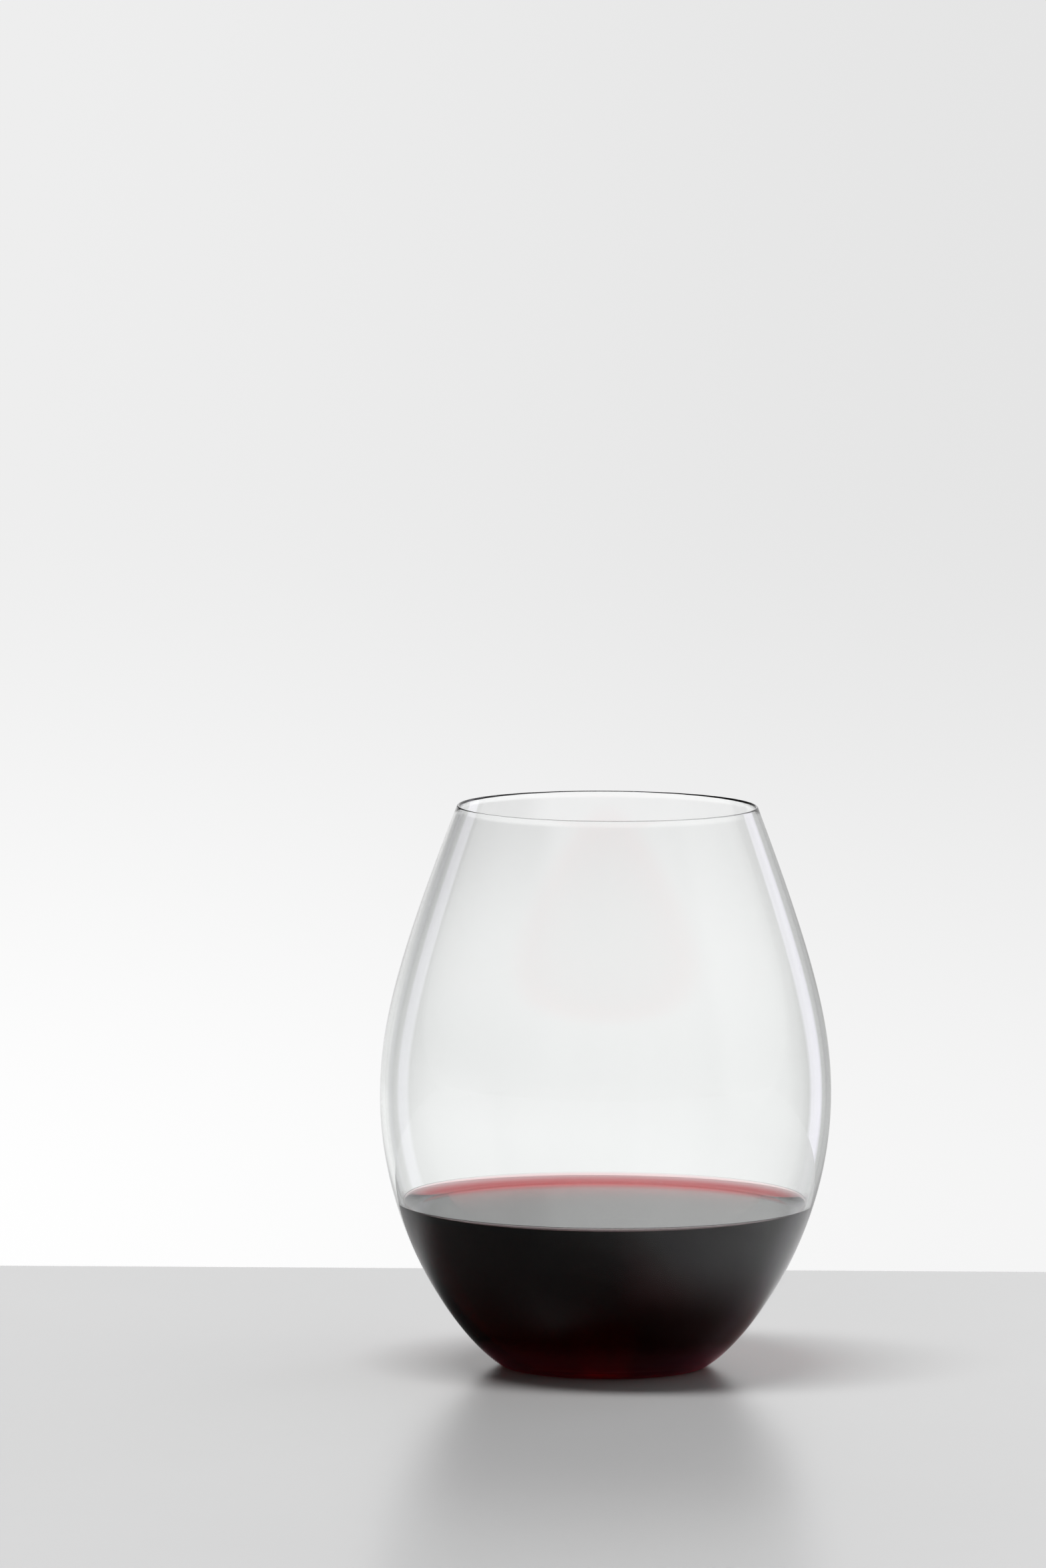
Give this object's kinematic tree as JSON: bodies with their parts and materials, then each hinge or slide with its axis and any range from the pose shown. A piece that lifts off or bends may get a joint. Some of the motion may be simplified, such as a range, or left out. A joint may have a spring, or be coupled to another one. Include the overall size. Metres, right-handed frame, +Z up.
{
  "type": "stemless wine glass",
  "caption": "Stemless egg-shaped glass tumbler with a narrowed round lip and a shallow foot ring, holding a poured serving of red wine.",
  "frame": {"origin": "centre of the foot ring, on the plane of the table that the glass stands on", "axes": "+Z up along the axis of revolution, from the foot to the lip; X and Y lie in the table's plane and are alike"},
  "size_m": [0.0962, 0.0962, 0.12],
  "materials": {
    "clear_glass": "polished",
    "red_wine": "gloss"
  },
  "bodies": {
    "root": {"glass_bowl": "clear_glass", "red_wine": "red_wine"}
  },
  "joints": []
}
